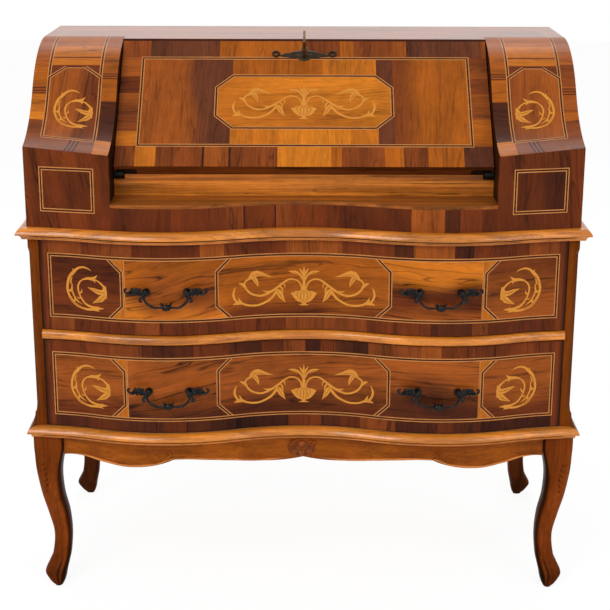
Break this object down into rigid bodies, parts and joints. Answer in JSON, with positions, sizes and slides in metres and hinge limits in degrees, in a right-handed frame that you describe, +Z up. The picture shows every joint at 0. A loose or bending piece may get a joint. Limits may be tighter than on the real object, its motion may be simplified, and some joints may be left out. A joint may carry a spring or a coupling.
{
  "type": "slant-front desk",
  "caption": "Serpentine slant-front escritoire with a fall lid, drawers with bail handles and cabriole legs, veneered in marquetry.",
  "frame": {"origin": "on the floor, at the middle of the overall width and depth", "axes": "+X to the right of someone facing the desk, +Y to the back, +Z up"},
  "size_m": [0.949, 0.4859, 0.9566],
  "materials": {
    "marquetry": "glossy lacquer over inlaid veneers",
    "walnut": "glossy lacquer",
    "moulding": "glossy lacquer",
    "interior": "satin",
    "carcass": "bare timber",
    "dark_bronze": "dark patina",
    "key_brass": "worn brass",
    "dark_iron": "blackened"
  },
  "bodies": {
    "case": {"front_left_leg": "walnut", "front_right_leg": "walnut", "rear_left_leg": "walnut", "rear_right_leg": "walnut", "glue_blocks": "carcass", "front_apron": "walnut", "side_aprons": "walnut", "rear_rail": "carcass", "bottom_board": "carcass", "base_moulding_front": "moulding", "base_moulding_sides": "moulding", "front_posts": "walnut", "lower_side_panels": "marquetry", "lower_back_panel": "carcass", "drawer_divider": "moulding", "drawer_runners": "carcass", "waist_board": "carcass", "waist_moulding_front": "moulding", "waist_moulding_sides": "moulding", "flank_panels": "marquetry", "upper_side_panels": "marquetry", "inner_cheeks": "interior", "slope_panels": "marquetry", "upper_back_panel": "carcass", "top_board": "marquetry", "strike_plate": "dark_iron", "frieze_panel": "marquetry", "ledge_board": "marquetry", "bed_front_rail": "moulding", "writing_bed": "interior", "inner_shelf": "interior", "inner_dividers": "interior", "pivot_bushes": "dark_iron"},
    "lid": {"lid_panel": "marquetry", "lid_pivots": "dark_iron", "lock_case": "dark_iron", "key_escutcheon": "dark_bronze"},
    "key": {"key": "key_brass"},
    "lock_bolt": {"lock_bolt": "dark_iron"},
    "upper_drawer": {"upper_drawer_front": "marquetry", "upper_drawer_sides": "carcass", "upper_drawer_back": "carcass", "upper_drawer_bottom": "carcass", "upper_handle_posts": "dark_bronze"},
    "upper_left_bail": {"upper_left_bail": "dark_bronze"},
    "upper_right_bail": {"upper_right_bail": "dark_bronze"},
    "lower_drawer": {"lower_drawer_front": "marquetry", "lower_drawer_sides": "carcass", "lower_drawer_back": "carcass", "lower_drawer_bottom": "carcass", "lower_handle_posts": "dark_bronze"},
    "lower_left_bail": {"lower_left_bail": "dark_bronze"},
    "lower_right_bail": {"lower_right_bail": "dark_bronze"},
    "left_inner_drawer": {"left_inner_front": "interior", "left_inner_box": "carcass", "left_inner_knob": "interior"},
    "right_inner_drawer": {"right_inner_front": "interior", "right_inner_box": "carcass", "right_inner_knob": "interior"}
  },
  "joints": [
    {"name": "lid_hinge", "type": "hinge", "parent": "case", "child": "lid", "pos_m": [0, -0.1479, 0.732], "axis": [1, 0, 0], "range_deg": [0, 137]},
    {"name": "key_turn", "type": "hinge", "parent": "lid", "child": "key", "pos_m": [0, 0.00613, 0.90572], "axis": [0, -0.682, 0.7314], "range_deg": [0, 180]},
    {"name": "bolt_slide", "type": "slide", "parent": "lid", "child": "lock_bolt", "axis": [0, 0.7314, 0.682], "range_m": [0, 0.008]},
    {"name": "upper_drawer_slide", "type": "slide", "parent": "case", "child": "upper_drawer", "axis": [0, -1, 0], "range_m": [0, 0.28]},
    {"name": "upper_left_bail_swing", "type": "hinge", "parent": "upper_drawer", "child": "upper_left_bail", "pos_m": [-0.2255, -0.23778, 0.5505], "axis": [-1, 0, 0], "range_deg": [0, 75]},
    {"name": "upper_right_bail_swing", "type": "hinge", "parent": "upper_drawer", "child": "upper_right_bail", "pos_m": [0.2255, -0.23778, 0.5505], "axis": [-1, 0, 0], "range_deg": [0, 75]},
    {"name": "lower_drawer_slide", "type": "slide", "parent": "case", "child": "lower_drawer", "axis": [0, -1, 0], "range_m": [0, 0.28]},
    {"name": "lower_left_bail_swing", "type": "hinge", "parent": "lower_drawer", "child": "lower_left_bail", "pos_m": [-0.2255, -0.23778, 0.377], "axis": [-1, 0, 0], "range_deg": [0, 75]},
    {"name": "lower_right_bail_swing", "type": "hinge", "parent": "lower_drawer", "child": "lower_right_bail", "pos_m": [0.2255, -0.23778, 0.377], "axis": [-1, 0, 0], "range_deg": [0, 75]},
    {"name": "left_inner_drawer_slide", "type": "slide", "parent": "case", "child": "left_inner_drawer", "axis": [0, -1, 0], "range_m": [0, 0.1]},
    {"name": "right_inner_drawer_slide", "type": "slide", "parent": "case", "child": "right_inner_drawer", "axis": [0, -1, 0], "range_m": [0, 0.1]}
  ],
  "couplings": [
    {"joint": "bolt_slide", "follows": "key_turn", "m_per_rad": 0.0025464}
  ]
}
